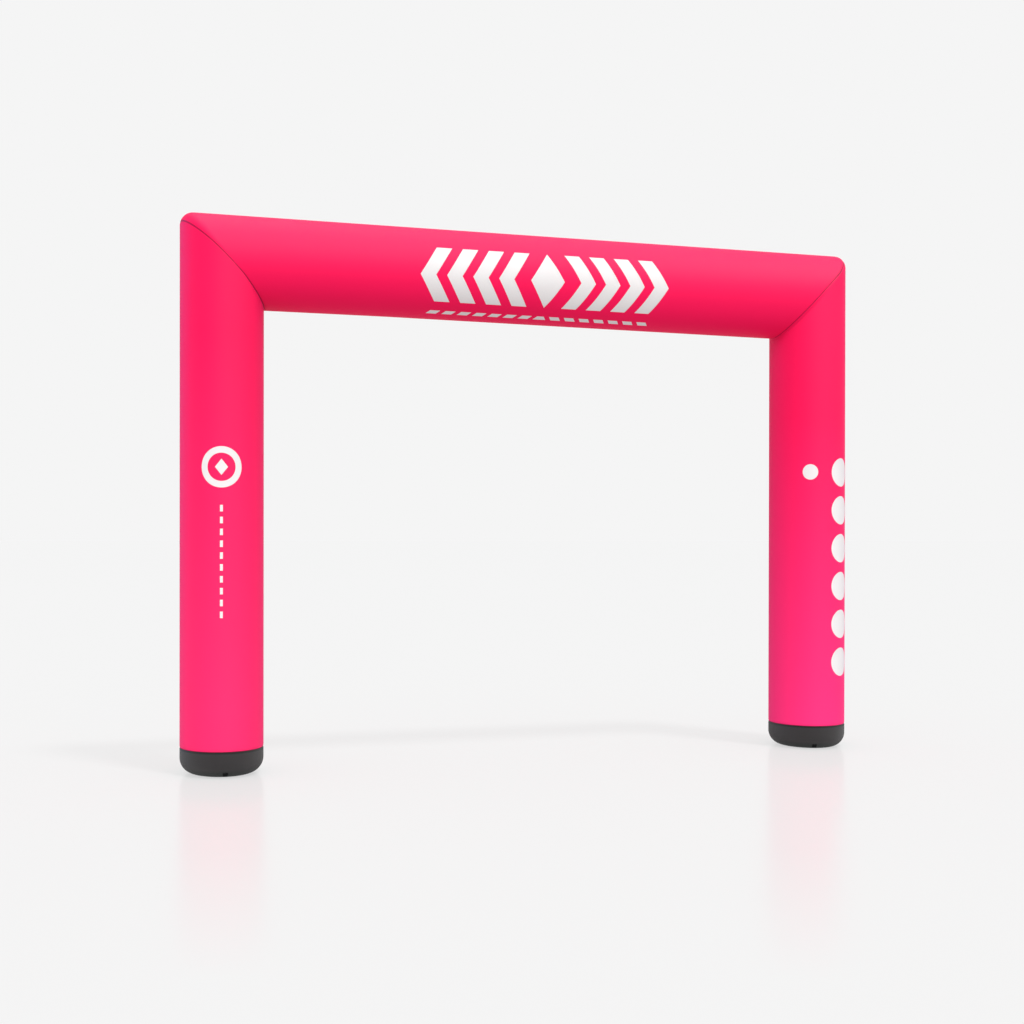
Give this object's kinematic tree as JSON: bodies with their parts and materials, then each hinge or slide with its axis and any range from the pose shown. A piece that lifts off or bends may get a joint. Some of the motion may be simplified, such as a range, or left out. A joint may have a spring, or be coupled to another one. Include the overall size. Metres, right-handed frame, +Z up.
{
  "type": "inflatable arch",
  "caption": "Free-standing inflatable arch: upright air tubes and a crossbeam joined at mitred corners, on rounded flat-based feet.",
  "frame": {"origin": "on the ground, midway between the two feet", "axes": "+X along the crossbeam, -Y towards the printed front, +Z up"},
  "size_m": [4, 0.5, 3],
  "materials": {
    "arch_cloth": "satin coated polyester, vivid pink with white print",
    "foot_cloth": "matte charcoal coated cloth",
    "webbing": "matte black woven webbing"
  },
  "bodies": {
    "root": {"leg_left": "arch_cloth", "leg_right": "arch_cloth", "beam": "arch_cloth", "foot_left": "foot_cloth", "foot_right": "foot_cloth", "tab_left": "webbing", "tab_right": "webbing"}
  },
  "joints": []
}
